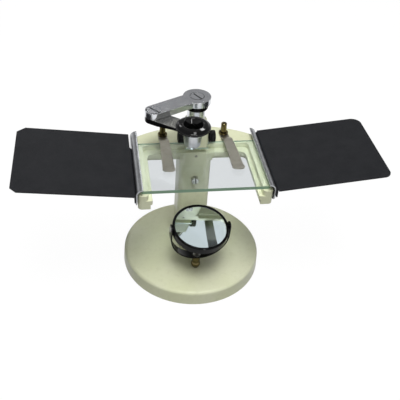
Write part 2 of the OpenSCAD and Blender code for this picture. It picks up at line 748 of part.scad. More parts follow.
// Flange turned down beside the bracket strip, from the front corner to flange_back
module rest_flange(flange_back) {
  color(sheet_black) difference() {
    translate([0, flange_back, 0]) rotate([90, 0, 0]) linear_extrude(rest_front - 1.5 + flange_back) {
      polygon([[strip_out, stage_top - 4.5], [strip_out + rest_t, stage_top - 4.5],
        [strip_out + rest_t, sheet_z - 0.1], [strip_out + 3, sheet_z + 0.18],
        [strip_out + 3, sheet_z + 0.18 + rest_t], [strip_out + 1.2, sheet_z + rest_t],
        [strip_out, sheet_z + 0.1]]);
    }
    for (y = rivet_y) translate([strip_x, y, rivet_z]) rotate([0, 90, 0]) cylinder(r = rivet_r, h = 6);
  }
}

module rest_slab() {
  color(sheet_black) translate([strip_out + 1.4, 0, sheet_z]) rotate([0, -rest_slope, 0])
    linear_extrude(rest_t) children();
}

module rest_right() {
  rest_slab() rest_outline();
  rest_flange(rest_back - 1.5);
}

module rest_left() {
  mirror([1, 0, 0]) {
    rest_slab() rest_outline_cut();
    rest_flange(6);
  }
}

// Bracket strip on the right: hangs on two studs and curls inwards over the glass plate's edge
module bracket() {
  leg_foot = stage_bot + 2.3;
  color(steel) difference() {
    intersection() {
      translate([0, rest_back - 0.3, 0]) rotate([90, 0, 0]) linear_extrude(rest_back + rest_front - 3.8) {
        translate([strip_x, leg_foot]) square([strip_t, curl_z - leg_foot]);
        intersection() {
          translate([strip_out - curl_r, curl_z]) difference() {
            circle(curl_r);
            circle(curl_r - strip_t);
          }
          translate([strip_out - curl_r, curl_z]) square(10);
        }
      }
      // Side outline with the lower front corner rounded
      translate([40, 0, 0]) rotate([90, 0, 90]) linear_extrude(30) {
        translate([-60 + 6, leg_foot]) square([100, 30]);
        translate([-60, leg_foot + 6]) square([100, 30]);
        translate([-60 + 6, leg_foot + 6]) circle(6);
      }
    }
    for (y = stud_y) translate([strip_x - 1, y, stud_z]) rotate([0, 90, 0]) {
      cylinder(r = 2.1, h = 5);
      translate([0, -2.1, 0]) cube([10, 4.2, 5]);
    }
    for (y = rivet_y) translate([strip_x - 1, y, rivet_z]) rotate([0, 90, 0]) cylinder(r = rivet_r, h = 5);
  }
}

module bracket_right() {
  bracket();
}

module bracket_left() {
  mirror([1, 0, 0]) bracket();
}

module rivets() {
  color(steel) for (y = rivet_y) translate([strip_x, y, rivet_z]) rotate([0, 90, 0]) {
    cylinder(r = rivet_r, h = strip_t + rest_t + 0.5);
    translate([0, 0, strip_t + rest_t]) intersection() {
      translate([0, 0, -2.1]) sphere(3.3);
      cylinder(r = 3, h = 3);
    }
  }
}

module rivets_right() {
  rivets();
}

module rivets_left() {
  mirror([1, 0, 0]) rivets();
}

// Frame of the leaning pieces, with the ball's middle as its origin
module leaning() {
  translate([0, -mirror_y, ball_z]) rotate([0, fork_lean, 0]) rotate(fork_turn) children();
}

module mirror_stem() {
  color(brass) difference() {
    union() {
      translate([0, -mirror_y, 2.2]) cylinder(r = stem_pin_r, h = ball_z - 2.2);
      translate([0, -mirror_y, stem_foot]) cylinder(r = 3.2, h = 2);
      intersection() {
        translate([0, -mirror_y, ball_z]) sphere(ball_r);
        translate([0, -mirror_y, stem_foot]) cylinder(r = 8, h = 12);
      }
      leaning() cylinder(r = neck_r, h = fork_foot + 0.05);
    }
    leaning() translate([0, 0, fork_foot - 5.2]) cylinder(r = 1.8, h = 8);
  }
}

module stem_nut() {
  color(brass) translate([0, -mirror_y, 2.4]) difference() {
    cylinder(r = 5, h = 3.1, $fn = 6);
    translate([0, 0, -1]) cylinder(r = stem_pin_r, h = 6);
  }
}

// Shoulder screw on which the fork turns
module stem_screw() {
  shoulder = fork_t;
  color(steel) leaning() translate([0, 0, fork_foot + 0.05]) {
    cylinder(r = stem_pin_r, h = shoulder + 0.3);
    translate([0, 0, -5]) cylinder(r = 1.8, h = 6);
    translate([0, 0, shoulder]) difference() {
      intersection() {
        translate([0, 0, -4.2]) sphere(5.6);
        cylinder(r = 3.6, h = 3);
      }
      rotate(35) translate([-5, -0.4, 0.8]) cube([10, 0.8, 2]);
    }
  }
}

module mirror_fork() {
  color(gloss_black) leaning() difference() {
    // Strip bent to a U, rounded at the ears
    intersection() {
      difference() {
        union() {
          translate([0, fork_w, fork_mid]) rotate([90, 0, 0]) cylinder(r = fork_r + fork_t, h = 2 * fork_w);
          translate([-fork_r - fork_t, -fork_w, fork_mid]) cube([2 * fork_r + 2 * fork_t, 2 * fork_w, 40]);
        }
        translate([0, 2 * fork_w, fork_mid]) rotate([90, 0, 0]) cylinder(r = fork_r, h = 4 * fork_w);
        translate([-fork_r, -2 * fork_w, fork_mid]) cube([2 * fork_r, 4 * fork_w, 50]);
      }
      translate([-40, 0, mirror_h]) rotate([0, 90, 0]) linear_extrude(80) {
        circle(fork_w / 2);
        translate([0, -fork_w / 2]) square([fork_w + 60, fork_w]);
      }
    }
    cylinder(r = stem_pin_r + stem_fit, h = fork_mid);
    // Flat seats for the screw's head and the neck
    translate([0, 0, fork_foot + fork_t - 0.02]) cylinder(r = 4, h = 3);
    translate([0, 0, fork_foot - 3]) cylinder(r = 4.5, h = 3.1);
    for (s = [-1, 1]) translate([0, 0, mirror_h]) rotate([0, s * 90, 0]) cylinder(r = 1.5, h = 40);
  }
}

module pivot_screws() {
  color(steel) for (s = [-1, 1]) leaning() translate([0, 0, mirror_h]) rotate([0, s * 90, 0]) {
    translate([0, 0, mirror_r + 0.2]) cylinder(r = 1.5, h = fork_r + fork_t - mirror_r);
    translate([0, 0, fork_r + fork_t]) slotted_head(2.6, 0.8, 0.6, 0.4, 70);
  }
}

// Bezel and glass are drawn level about the tilting axis and then tilted together
module tilted() {
  leaning() translate([0, 0, mirror_h]) rotate([mirror_tilt, 0, 0]) children();
}

module mirror_bezel() {
  r = mirror_r;
  color(gloss_black) tilted() difference() {
    union() {
      translate([0, 0, 2 - bezel_h]) rotate_extrude() {
        polygon([[0, 0], [bezel_r - 2.4, 0], [bezel_r, 1.6], [bezel_r, bezel_h - 0.7], [bezel_r - 0.7, bezel_h],
          [r - 0.7, bezel_h], [r - 1, bezel_h - 0.7], [r - 1, bezel_h - 0.9], [r, bezel_h - 0.9], [r, 1.2],
          [0, 1.2]]);
      }
      for (s = [-1, 1]) rotate([0, s * 90, 0]) translate([0, 0, r]) cylinder(r = 2, h = fork_r - 0.15 - r);
    }
    for (s = [-1, 1]) rotate([0, s * 90, 0]) translate([0, 0, r + 0.1]) cylinder(r = 1.5 + pivot_fit, h = 9);
  }
}

module mirror_glass() {
  color([0.88, 0.9, 0.92]) tilted() translate([0, 0, 1.1 - glass_pane_t])
    cylinder(r = mirror_r, h = glass_pane_t);
}

base();
column();
column_bolt();
stage();
rest_studs();
glass_plate();
rack_housing();
sleeve_screw();
grub_screw();
pinion_bush();
focus_rod();
rack();
collar();
head_screw();
pinion();
knob(-1);  // knob_left
knob(1);  // knob_right
upper_arm();
joint_screw();
lower_arm();
eyecup();
lens_barrel();
lens();
clip_pins();
clip_washers();
clip_left();
clip_right();
rest_left();
rest_right();
bracket_left();
bracket_right();
rivets_left();
rivets_right();
mirror_stem();
stem_nut();
stem_screw();
mirror_fork();
pivot_screws();
mirror_bezel();
mirror_glass();
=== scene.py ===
"""Looks of the dissecting microscope: finishes for its parts, studio light, floor and camera."""

import math

import bmesh
import bpy
import numpy as np
from mathutils import Matrix, Vector


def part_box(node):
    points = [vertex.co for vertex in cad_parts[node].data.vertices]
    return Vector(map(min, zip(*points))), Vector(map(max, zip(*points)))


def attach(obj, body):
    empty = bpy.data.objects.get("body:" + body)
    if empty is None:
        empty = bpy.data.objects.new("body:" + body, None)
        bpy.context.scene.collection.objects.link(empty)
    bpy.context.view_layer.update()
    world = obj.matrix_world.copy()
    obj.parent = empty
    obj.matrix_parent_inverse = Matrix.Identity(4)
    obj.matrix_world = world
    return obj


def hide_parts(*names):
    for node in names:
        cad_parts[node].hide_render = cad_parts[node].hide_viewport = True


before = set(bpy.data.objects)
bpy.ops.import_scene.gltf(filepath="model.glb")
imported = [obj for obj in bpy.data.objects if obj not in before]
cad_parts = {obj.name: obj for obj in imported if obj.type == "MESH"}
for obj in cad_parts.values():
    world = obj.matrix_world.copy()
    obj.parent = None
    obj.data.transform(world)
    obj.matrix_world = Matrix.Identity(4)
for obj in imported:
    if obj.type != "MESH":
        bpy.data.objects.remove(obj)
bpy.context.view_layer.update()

# One millimetre in metres. Sizes here are millimetres unless a comment says metres.
MM = 0.001

# How many directions the Bevel and Ambient Occlusion nodes try at each point.
EDGE_SAMPLES = 6

# Noise stays near 0.5. Cut here, it gives an even spread, or two tones with soft borders.
EVEN_SPREAD = (0.3, 0.7)
TWO_TONES = (0.35, 0.65)

# How far a face turns from the directions round it, as 1 less the cosine, where an edge begins and is full.
EDGE_TURN = (0.02, 0.35)

# Painted shade in gaps: open light where it is full and where it ends, how much metal it hides, and its tone.
GAP_LIGHT = (0.3, 0.72)
GAP_SHADE = (0.9, 0.0)
GAP_SHADE_TONE = "171613"

# Sockets of a Mix node that mixes colours. They are numbers because its other modes use the same names.
MIX_SHARE = 0
MIX_UNDER = 6
MIX_OVER = 7
MIX_RESULT = 2

# Directions in which a finish was rubbed, as the stretch of its noise: small along the scratches.
ALONG_ARM = (0.06, 1.0, 1.0)
ALONG_STRIP = (1.0, 0.06, 1.0)
ROUND_BARREL = (1.0, 1.0, 6.0)

# Curve points in each rounded corner of a turned profile.
CORNER_STEPS = 7

# Edges between faces that meet at more degrees than this stay sharp.
SMOOTH_UP_TO = 40

# The stop collar: radii of bore, foot and rim, the rim's taper, its height, and points round it.
COLLAR_BORE = 8.0
COLLAR_FOOT = 9.9
COLLAR_RIM = 10.3
COLLAR_TAPER = 0.9
COLLAR_HEIGHT = 5.4
COLLAR_SEGMENTS = 128

# A focusing knob: hole round the shaft's end, sunk ring round that hole, and bevel of the inner edge.
KNOB_HOLE = 2.0
KNOB_SUNK_RADII = (2.6, 3.1)
KNOB_SUNK_DEPTH = 0.5
KNOB_BEVEL = 0.9

# Its flutes: how many, how deep, points across each, how far in from the rim they still cut, and, as shares
# of the knob's length, where they begin and end and how long they take to reach full depth.
FLUTES = 30
FLUTE_DEPTH = 0.45
FLUTE_STEPS = 12
FLUTE_REACH = 1.0
FLUTE_BEGIN = 0.1
FLUTE_END = 0.88
FLUTE_RUN_OUT = 0.12

# The floor's half width and its drop below the base, in metres.
FLOOR_HALF = 6.0
FLOOR_DROP = 0.0002

# Strength of the floor's own white, and its share of the floor where the floor is seen.
PAPER_WHITE = 1.13
PAPER_SHARE = 0.86

# Strength of the room as light on the object, and where it is seen. In metal the seen room fades into the
# dim one between two heights, from the whole of it to a share.
ROOM_LIGHT = 0.21
ROOM_SEEN = 1.0
ROOM_FADE = (0.1, 0.45)
ROOM_IN_METAL = (1.0, 0.12)

# The point that all lamps aim at, just under the stage and over the middle of the base, in metres. Each lamp
# has its name, its place and side in metres, its watts, and whether metal and glass show it.
LAMP_AIM = (0.0, 0.0, 0.1)
LAMPS = (
    ("front_softbox", (-0.03, -0.64, 1.54), 0.56, 12.6, True),
    ("overhead_softbox", (0.0, -0.16, 1.46), 0.8, 8.6, False),
    ("left_softbox", (-0.9, -0.35, 0.7), 0.3, 0.15, False),
    ("front_spot", (0.26, -1.05, 0.52), 0.12, 0.9, True),
    ("back_spot", (-0.1, 1.06, 0.94), 0.16, 0.6, True),
    ("right_back_spot", (0.26, 0.82, 0.94), 0.07, 0.2, True),
    ("overhead_spot", (0.12, -0.19, 1.25), 0.16, 0.6, True),
)

# The camera: its place, the directions of its right side and back, its focal length in the photograph's
# pixels, the photograph's width in the same pixels, and the width of its sensor.
CAMERA_PLACE = (-84.336, -474.079, 463.379)
CAMERA_RIGHT = (0.98846, -0.14006, 0.05770)
CAMERA_BACK = (-0.14489, -0.76300, 0.62996)
FOCAL_PIXELS = 655.123
PHOTO_PIXELS = 400
SENSOR_WIDTH = 36.0


def linear(colour):
    """sRGB hex colour, such as "C8C8AA", as linear red, green, blue and alpha 1."""
    parts = [int(colour[i : i + 2], 16) / 255 for i in (0, 2, 4)]
    bent = [p / 12.92 if p <= 0.04045 else ((p + 0.055) / 1.055) ** 2.4 for p in parts]
    return (*bent, 1.0)


def node(tree, kind, inputs=None, **settings):
    """Adds a node. Each of its inputs gets a number, a hex colour or the socket that feeds it."""
    made = tree.nodes.new(kind)
    for name, value in settings.items():
        setattr(made, name, value)
    for name, value in (inputs or {}).items():
        if isinstance(value, bpy.types.NodeSocket):
            tree.links.new(value, made.inputs[name])
        else:
            made.inputs[name].default_value = linear(value) if isinstance(value, str) else value
    return made


def blank(name):
    """A material with no nodes yet, and its node tree."""
    material = bpy.data.materials.new(name)
    material.use_nodes = True
    material.node_tree.nodes.clear()
    return material, material.node_tree


def surface(material, shader):
    """Shows the shader on the material's surface."""
    node(material.node_tree, "ShaderNodeOutputMaterial", {"Surface": shader.outputs[0]})
    return material


def spread(source, cut, out=(0.0, 1.0)):
    """Inputs of a Map Range node that turns the source, between the two cuts, into the two values of out."""
    return {"Value": source, "From Min": cut[0], "From Max": cut[1], "To Min": out[0], "To Max": out[1]}


def mottling(tree, size, detail=3.0, roughness=0.5, stretch=None):
    """Noise with features about size millimetres across, drawn out along the axes that stretch makes small.

    It reads Object coordinates, so the pattern stays with its piece.
    """
    place = node(tree, "ShaderNodeTexCoord").outputs["Object"]
    if stretch is not None:
        place = node(tree, "ShaderNodeMapping", {"Vector": place, "Scale": stretch}).outputs["Vector"]
    inputs = {"Vector": place, "Scale": 1.0 / (size * MM), "Detail": detail, "Roughness": roughness}
    return node(tree, "ShaderNodeTexNoise", inputs).outputs["Fac"]


def patches(tree, size, cut, out=(0.0, 1.0), detail=3.0, roughness=0.5, stretch=None):
    """Patches about size millimetres across: mottling between the two cuts becomes the two values of out."""
    source = mottling(tree, size, detail, roughness, stretch)
    return node(tree, "ShaderNodeMapRange", spread(source, cut, out)).outputs[0]


def layered(tree, bottom, *coats):
    """Colour of the bottom tone with coats over it in turn. A coat is how much of it shows, and its tone."""
    for share, tone in coats:
        inputs = {MIX_SHARE: share, MIX_UNDER: bottom, MIX_OVER: tone}
        bottom = node(tree, "ShaderNodeMix", inputs, data_type="RGBA").outputs[MIX_RESULT]
    return bottom


def upward(tree):
    """How far the face looks up: 1 on top, 0 on a wall, -1 underneath."""
    facing = node(tree, "ShaderNodeNewGeometry").outputs["Normal"]
    return node(tree, "ShaderNodeSeparateXYZ", {"Vector": facing}).outputs["Z"]


def rim(tree, width):
    """1 along outer and inner edges about width millimetres wide, 0 on open faces.

    It compares the face's own direction with one averaged over that width.
    """
    averaged = node(tree, "ShaderNodeBevel", {"Radius": width * MM}, samples=EDGE_SAMPLES).outputs["Normal"]
    plain = node(tree, "ShaderNodeNewGeometry").outputs["Normal"]
    alike = node(tree, "ShaderNodeVectorMath", {0: averaged, 1: plain}, operation="DOT_PRODUCT")
    turn = node(tree, "ShaderNodeMath", {0: 1.0, 1: alike.outputs["Value"]}, operation="SUBTRACT").outputs[0]
    return node(tree, "ShaderNodeMapRange", spread(turn, EDGE_TURN)).outputs[0]


def worn_edges(tree, width, size, cut, share):
    """Up to share along edges width millimetres wide, broken up by patches about size millimetres across."""
    broken = patches(tree, size, cut, (0.0, share), detail=5.0, roughness=0.7)
    return node(tree, "ShaderNodeMath", {0: rim(tree, width), 1: broken}, operation="MULTIPLY").outputs[0]


def painted_gap_shade(tree, reach):
    """Painted shade in slots and gaps up to reach millimetres wide, read from Ambient Occlusion, and 0 on
    open faces.
    """
    light = node(tree, "ShaderNodeAmbientOcclusion", {"Distance": reach * MM}, samples=EDGE_SAMPLES)
    return node(tree, "ShaderNodeMapRange", spread(light.outputs["AO"], GAP_LIGHT, GAP_SHADE)).outputs[0]


def soft_edges(tree, radius, height=None, depth=0.0, strength=1.0):
    """Normal that rounds sharp edges by radius millimetres. A height adds relief depth millimetres deep."""
    inputs = {"Radius": radius * MM}
    if height is not None:
        relief = {"Height": height, "Distance": depth * MM, "Strength": strength}
        inputs["Normal"] = node(tree, "ShaderNodeBump", relief).outputs["Normal"]
    return node(tree, "ShaderNodeBevel", inputs, samples=EDGE_SAMPLES).outputs["Normal"]


def stoving_enamel():
    """Cream stoving enamel, baked thick on cast iron: soft gloss, faint orange peel, yellowing in patches,
    grime, and thin brownish edges where hands have rubbed it."""
    material, tree = blank("stoving_enamel_cream")
    yellowing = patches(tree, 34, TWO_TONES, detail=2.0)
    grime = patches(tree, 5, (0.5, 0.78), (0.0, 0.4), detail=6.0, roughness=0.65)
    worn = worn_edges(tree, 0.7, 3.5, (0.46, 0.62), 0.55)
    peel = mottling(tree, 1.6, detail=2.0)
    inputs = {
        "Base Color": layered(tree, "D3D6B4", (yellowing, "D8DABD"), (grime, "BFC09E"), (worn, "8F8B6E")),
        "Roughness": patches(tree, 9, EVEN_SPREAD, (0.3, 0.42), detail=4.0),
        "Normal": soft_edges(tree, 0.5, peel, depth=0.05, strength=0.35),
        "IOR": 1.5,
        "Specular IOR Level": 0.22,
        "Coat Weight": 0.08,
        "Coat Roughness": 0.15,
    }
    return surface(material, node(tree, "ShaderNodeBsdfPrincipled", inputs))


def linished_nickel(name, tones, stretch, rough, painted_edge_tone="D8D8DA", edge_width=0.2):
    """Nickel plate over steel, linished: fine parallel scratches draw the highlights out, the plate dulls in
    clouds, painted shade darkens the slots, and the edges take painted_edge_tone: by default a light painted
    highlight, on the screws a dark painted shade.

    Real scratches are finer. These are half a millimetre apart, because finer ones wouldn't show.
    """
    material, tree = blank(name)
    scratches = mottling(tree, 0.5, roughness=0.6, stretch=stretch)
    clouds = patches(tree, 11, (0.35, 0.7), detail=5.0, roughness=0.6)
    # Painted light along the edges: a highlight where the edge tone is light, shade where it is dark.
    edges = rim(tree, edge_width)
    # Painted shade in the slots and gaps.
    gap_shade = painted_gap_shade(tree, 1.6)
    inputs = {
        "Base Color": layered(tree, tones[0], (clouds, tones[1]), (edges, painted_edge_tone), (gap_shade, GAP_SHADE_TONE)),
        "Roughness": node(tree, "ShaderNodeMapRange", spread(scratches, EVEN_SPREAD, rough)).outputs[0],
        "Normal": soft_edges(tree, 0.25, scratches, depth=0.005, strength=0.2),
        "Metallic": 1.0,
    }
    return surface(material, node(tree, "ShaderNodeBsdfPrincipled", inputs))


def bare_metal(name, tones, stain, rough, size=2.2):
    """Bare metal, turned or rolled: two drifting tones, stains about size millimetres across, painted shade
    in gaps.
    """
    material, tree = blank(name)
    drift = patches(tree, size * 3, TWO_TONES)
    stains = patches(tree, size, (0.56, 0.76), (0.0, 0.8), detail=6.0, roughness=0.7)
    # Painted shade in the slots and gaps.
    gap_shade = painted_gap_shade(tree, 1.2)
    inputs = {
        "Base Color": layered(tree, tones[0], (drift, tones[1]), (stains, stain), (gap_shade, GAP_SHADE_TONE)),
        "Roughness": patches(tree, 0.6, EVEN_SPREAD, rough),
        "Normal": soft_edges(tree, 0.2),
        "Metallic": 1.0,
    }
    return surface(material, node(tree, "ShaderNodeBsdfPrincipled", inputs))


def dark_coat(name, tones, rubbed, rough, specular, size, relief, grain, edge=0.35, wear=0.5, ior=1.5):
    """A dark coat or moulding: two close tones in patches about size millimetres across, a fine texture grain
    millimetres across and relief millimetres deep, and edges rubbed paler."""
    material, tree = blank(name)
    drift = patches(tree, size, TWO_TONES, detail=4.0, roughness=0.6)
    worn = worn_edges(tree, edge, 2.5, (0.45, 0.65), wear)
    fine = mottling(tree, grain)
    inputs = {
        "Base Color": layered(tree, tones[0], (drift, tones[1]), (worn, rubbed)),
        "Roughness": node(tree, "ShaderNodeMapRange", spread(fine, EVEN_SPREAD, rough)).outputs[0],
        "Normal": soft_edges(tree, edge, fine, depth=relief, strength=0.5),
        "IOR": ior,
        "Specular IOR Level": specular,
    }
    return surface(material, node(tree, "ShaderNodeBsdfPrincipled", inputs))


def clear_glass(name, tint, edge_tint, dust_size, ior):
    """Clear glass with polished faces and a ground edge: the faces reflect sharply under a trace of dust, and
    the upright edge is half dull and greenish.

    Light from the lamps passes straight through, so that the glass hardly shades what is under it.
    """
    material, tree = blank(name)
    level = node(tree, "ShaderNodeMath", {0: upward(tree)}, operation="ABSOLUTE").outputs[0]
    ground = node(tree, "ShaderNodeMapRange", spread(level, (0.3, 0.6), (1.0, 0.0))).outputs[0]
    dust = patches(tree, dust_size, (0.5, 0.8), (0.0, 0.012), detail=5.0)
    rough = node(tree, "ShaderNodeMath", {0: ground, 1: 0.4, 2: dust}, operation="MULTIPLY_ADD").outputs[0]
    clear = node(tree, "ShaderNodeMapRange", spread(ground, (0.0, 1.0), (1.0, 0.2))).outputs[0]
    inputs = {
        "Base Color": layered(tree, tint, (ground, edge_tint)),
        "Roughness": rough,
        "Transmission Weight": clear,
        "IOR": ior,
    }
    glass = node(tree, "ShaderNodeBsdfPrincipled", inputs)
    open_way = node(tree, "ShaderNodeBsdfTransparent", {"Color": "F2F5F4"})
    shadow = node(tree, "ShaderNodeLightPath").outputs["Is Shadow Ray"]
    mixed = node(tree, "ShaderNodeMixShader", {0: shadow, 1: glass.outputs[0], 2: open_way.outputs[0]})
    return surface(material, mixed)


def turned_aluminium():
    """Turned aluminium barrel: bright outside with fine turning marks, blacked inside and on its upper
    ledges, so that no stray light reaches the lens.

    A face is outside where its direction points away from the barrel's own axis.
    """
    material, tree = blank("turned_aluminium_blacked_bore")
    low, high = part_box("lens_barrel")
    axis = ((low[0] + high[0]) / 2, (low[1] + high[1]) / 2, 0.0)
    place = node(tree, "ShaderNodeTexCoord").outputs["Object"]
    from_axis = node(tree, "ShaderNodeVectorMath", {0: place, 1: axis}, operation="SUBTRACT").outputs[0]
    level = node(tree, "ShaderNodeVectorMath", {0: from_axis, 1: (1.0, 1.0, 0.0)}, operation="MULTIPLY")
    outward = node(tree, "ShaderNodeVectorMath", {0: level.outputs[0]}, operation="NORMALIZE").outputs[0]
    facing = node(tree, "ShaderNodeNewGeometry").outputs["Normal"]
    away = node(tree, "ShaderNodeVectorMath", {0: facing, 1: outward}, operation="DOT_PRODUCT")
    outside = node(tree, "ShaderNodeMapRange", spread(away.outputs["Value"], (-0.3, -0.1))).outputs[0]
    not_ledge = node(tree, "ShaderNodeMapRange", spread(upward(tree), (0.4, 0.6), (1.0, 0.0))).outputs[0]
    bright = node(tree, "ShaderNodeMath", {0: outside, 1: not_ledge}, operation="MULTIPLY").outputs[0]
    aluminium = layered(tree, "BFC2C5", (patches(tree, 6, TWO_TONES), "ADB0B3"))
    inputs = {
        "Base Color": layered(tree, "0A0A0A", (bright, aluminium)),
        "Roughness": patches(tree, 0.6, EVEN_SPREAD, (0.24, 0.34), stretch=ROUND_BARREL),
        "Metallic": bright,
        "Normal": soft_edges(tree, 0.25),
        "Specular IOR Level": 0.2,
    }
    return surface(material, node(tree, "ShaderNodeBsdfPrincipled", inputs))


def lacquer_with_painted_top_sheen():
    """Black lacquer on the lower arm, with grey metal on its top faces: a painted sheen, lighter than its
    sides.
    """
    material, tree = blank("black_lacquer_with_painted_top_sheen")
    # Painted sheen: faces that look up turn to grey metal, in broken patches that cover most of the top.
    top = node(tree, "ShaderNodeMapRange", spread(upward(tree), (0.8, 0.95))).outputs[0]
    rubbed = patches(tree, 9, (0.2, 0.5), (0.6, 1.0), detail=4.0, roughness=0.6)
    painted_top_sheen = node(tree, "ShaderNodeMath", {0: top, 1: rubbed}, operation="MULTIPLY").outputs[0]
    inputs = {
        "Base Color": layered(tree, "0C0C0D", (painted_top_sheen, "ACACA7")),
        "Roughness": patches(tree, 1.2, EVEN_SPREAD, (0.16, 0.28)),
        "Metallic": painted_top_sheen,
        "Normal": soft_edges(tree, 0.35),
        "Specular IOR Level": 0.3,
    }
    return surface(material, node(tree, "ShaderNodeBsdfPrincipled", inputs))


def silvered_glass():
    """Plane mirror, silvered behind the glass: cold clear reflection, a slight haze and age spots."""
    material, tree = blank("silvered_glass")
    spots = patches(tree, 3, (0.6, 0.8), (0.0, 0.6), detail=6.0, roughness=0.7)
    inputs = {
        "Base Color": layered(tree, "E3EDF0", (spots, "B9C6C8")),
        "Roughness": patches(tree, 8, (0.5, 0.8), (0.01, 0.05), detail=5.0),
        "Metallic": 1.0,
    }
    return surface(material, node(tree, "ShaderNodeBsdfPrincipled", inputs))


def arm_nickel():
    """Nickel plate on the upper arm and the focusing rod, polished after linishing: bright, cool grey."""
    return linished_nickel(
        "linished_nickel_plate", tones=("DCDEE2", "D0D2D7"), stretch=ALONG_ARM, rough=(0.14, 0.22)
    )


def screw_nickel():
    """The arm's nickel plate on its two large screws, with painted shade round the rims: a dark ring on each.
    """
    return linished_nickel(
        "nickel_plate_with_painted_rim_shade",
        tones=("DCDEE2", "D0D2D7"),
        stretch=ALONG_ARM,
        rough=(0.14, 0.22),
        # Painted shade: a dark ring round the screw heads' rims and slots.
        painted_edge_tone="1A1916",
        edge_width=0.55,
    )


def strip_nickel():
    """Nickel plate on the hand rests' strips, linished lengthwise, not polished: a duller, darker grey."""
    # Its edges keep the light default edge tone: a painted highlight along them.
    return linished_nickel(
        "linished_nickel_strip", tones=("B0B2B5", "989A9D"), stretch=ALONG_STRIP, rough=(0.24, 0.36)
    )


def turned_steel():
    """Turned bright steel of screws, studs and rivets: warm grey, half glossy, with small stains."""
    return bare_metal("turned_bright_steel", tones=("B4B3AC", "9C9B95"), stain="7A766C", rough=(0.25, 0.42))


def spring_steel():
    """Rolled spring steel of the clips: flat warm grey with little gloss."""
    return bare_metal(
        "rolled_spring_steel", tones=("B0ADA1", "A4A195"), stain="827E70", rough=(0.34, 0.5), size=3.0
    )


def aged_brass():
    """Turned brass, browned with age: dark olive gold that still glints."""
    return bare_metal(
        "aged_turned_brass", tones=("786D4C", "5A5136"), stain="2E2918", rough=(0.14, 0.28), size=1.6
    )


def black_lacquer():
    """Black stoved lacquer on collar, fork and bezel: deep black, half glossy, brownish where rubbed."""
    return dark_coat(
        "black_stoved_lacquer",
        tones=("060607", "0A0A0B"),
        rubbed="2E2C25",
        rough=(0.12, 0.22),
        specular=0.1,
        size=6,
        relief=0.01,
        grain=1.4,
    )


def polished_phenolic():
    """Phenolic plastic moulded in a polished die, for the eyecup: near black with small hard highlights."""
    return dark_coat(
        "moulded_black_phenolic",
        tones=("060607", "0A0A0B"),
        rubbed="1A1918",
        rough=(0.02, 0.06),
        specular=0.3,
        size=5,
        relief=0.004,
        grain=1.0,
    )


def fluted_phenolic():
    """Phenolic plastic of the knobs, duller from fingers: near black, with a soft glint on each flute."""
    return dark_coat(
        "fluted_black_phenolic",
        tones=("060607", "090909"),
        rubbed="1A1918",
        rough=(0.12, 0.22),
        specular=0.1,
        size=5,
        relief=0.006,
        grain=1.0,
    )


def satin_paint():
    """Satin black paint sprayed on the hand rests: even charcoal grey, paler along its edges."""
    return dark_coat(
        "satin_black_paint",
        tones=("191A1D", "1E1F22"),
        rubbed="3A3B3F",
        rough=(0.5, 0.62),
        specular=0.22,
        size=12,
        relief=0.02,
        grain=0.8,
        edge=0.3,
        wear=0.6,
        ior=1.45,
    )


def plate_glass():
    """Float glass of the stage plate: clear with a light grey cast, and greenish at its ground edge."""
    return clear_glass("float_glass", tint="DADEE0", edge_tint="7FA085", dust_size=14, ior=1.5)


def lens_glass():
    """Crown glass of the lens: clear and nearly colourless, pale green at its rim."""
    return clear_glass("crown_glass_lens", tint="EEF4F2", edge_tint="B5C8C0", dust_size=3, ior=1.52)


def finishes():
    """The material of each part, by the part's name."""
    wearers = (
        (stoving_enamel(), "base column stage rack_housing"),
        (arm_nickel(), "focus_rod upper_arm"),
        (screw_nickel(), "head_screw joint_screw"),
        (strip_nickel(), "bracket_left bracket_right"),
        (
            turned_steel(),
            "column_bolt rest_studs sleeve_screw grub_screw pivot_screws stem_screw rivets_left rivets_right",
        ),
        (spring_steel(), "clip_left clip_right"),
        (aged_brass(), "pinion_bush rack pinion clip_pins clip_washers mirror_stem stem_nut"),
        (turned_aluminium(), "lens_barrel"),
        (black_lacquer(), "collar mirror_fork mirror_bezel"),
        (polished_phenolic(), "eyecup"),
        (fluted_phenolic(), "knob_left knob_right"),
        (lacquer_with_painted_top_sheen(), "lower_arm"),
        (satin_paint(), "rest_left rest_right"),
        (plate_glass(), "glass_plate"),
        (lens_glass(), "lens"),
        (silvered_glass(), "mirror_glass"),
    )
    return {name: finish for finish, names in wearers for name in names.split()}


def rounded_loop(corners):
    """Closed profile with rounded corners, as rows of radius and height in metres.

    Each corner is (radius, height, rounding) in millimetres. Its rounding is a curve that leaves one side at
    that distance from the corner and meets the next side at the same distance. With first and last as those
    two points, the curve is (1 - t)^2 first + 2 t (1 - t) corner + t^2 last.
    """
    table = np.array(corners, dtype=float)
    points = table[:, :2]
    cut = table[:, 2:]
    before = np.roll(points, 1, axis=0) - points
    after = np.roll(points, -1, axis=0) - points
    first = points + cut * before / np.linalg.norm(before, axis=1, keepdims=True)
    last = points + cut * after / np.linalg.norm(after, axis=1, keepdims=True)
    t = np.linspace(0.0, 1.0, CORNER_STEPS)[None, :, None]
    curve = (1 - t) ** 2 * first[:, None] + 2 * t * (1 - t) * points[:, None] + t**2 * last[:, None]
    return curve.reshape(-1, 2) * MM


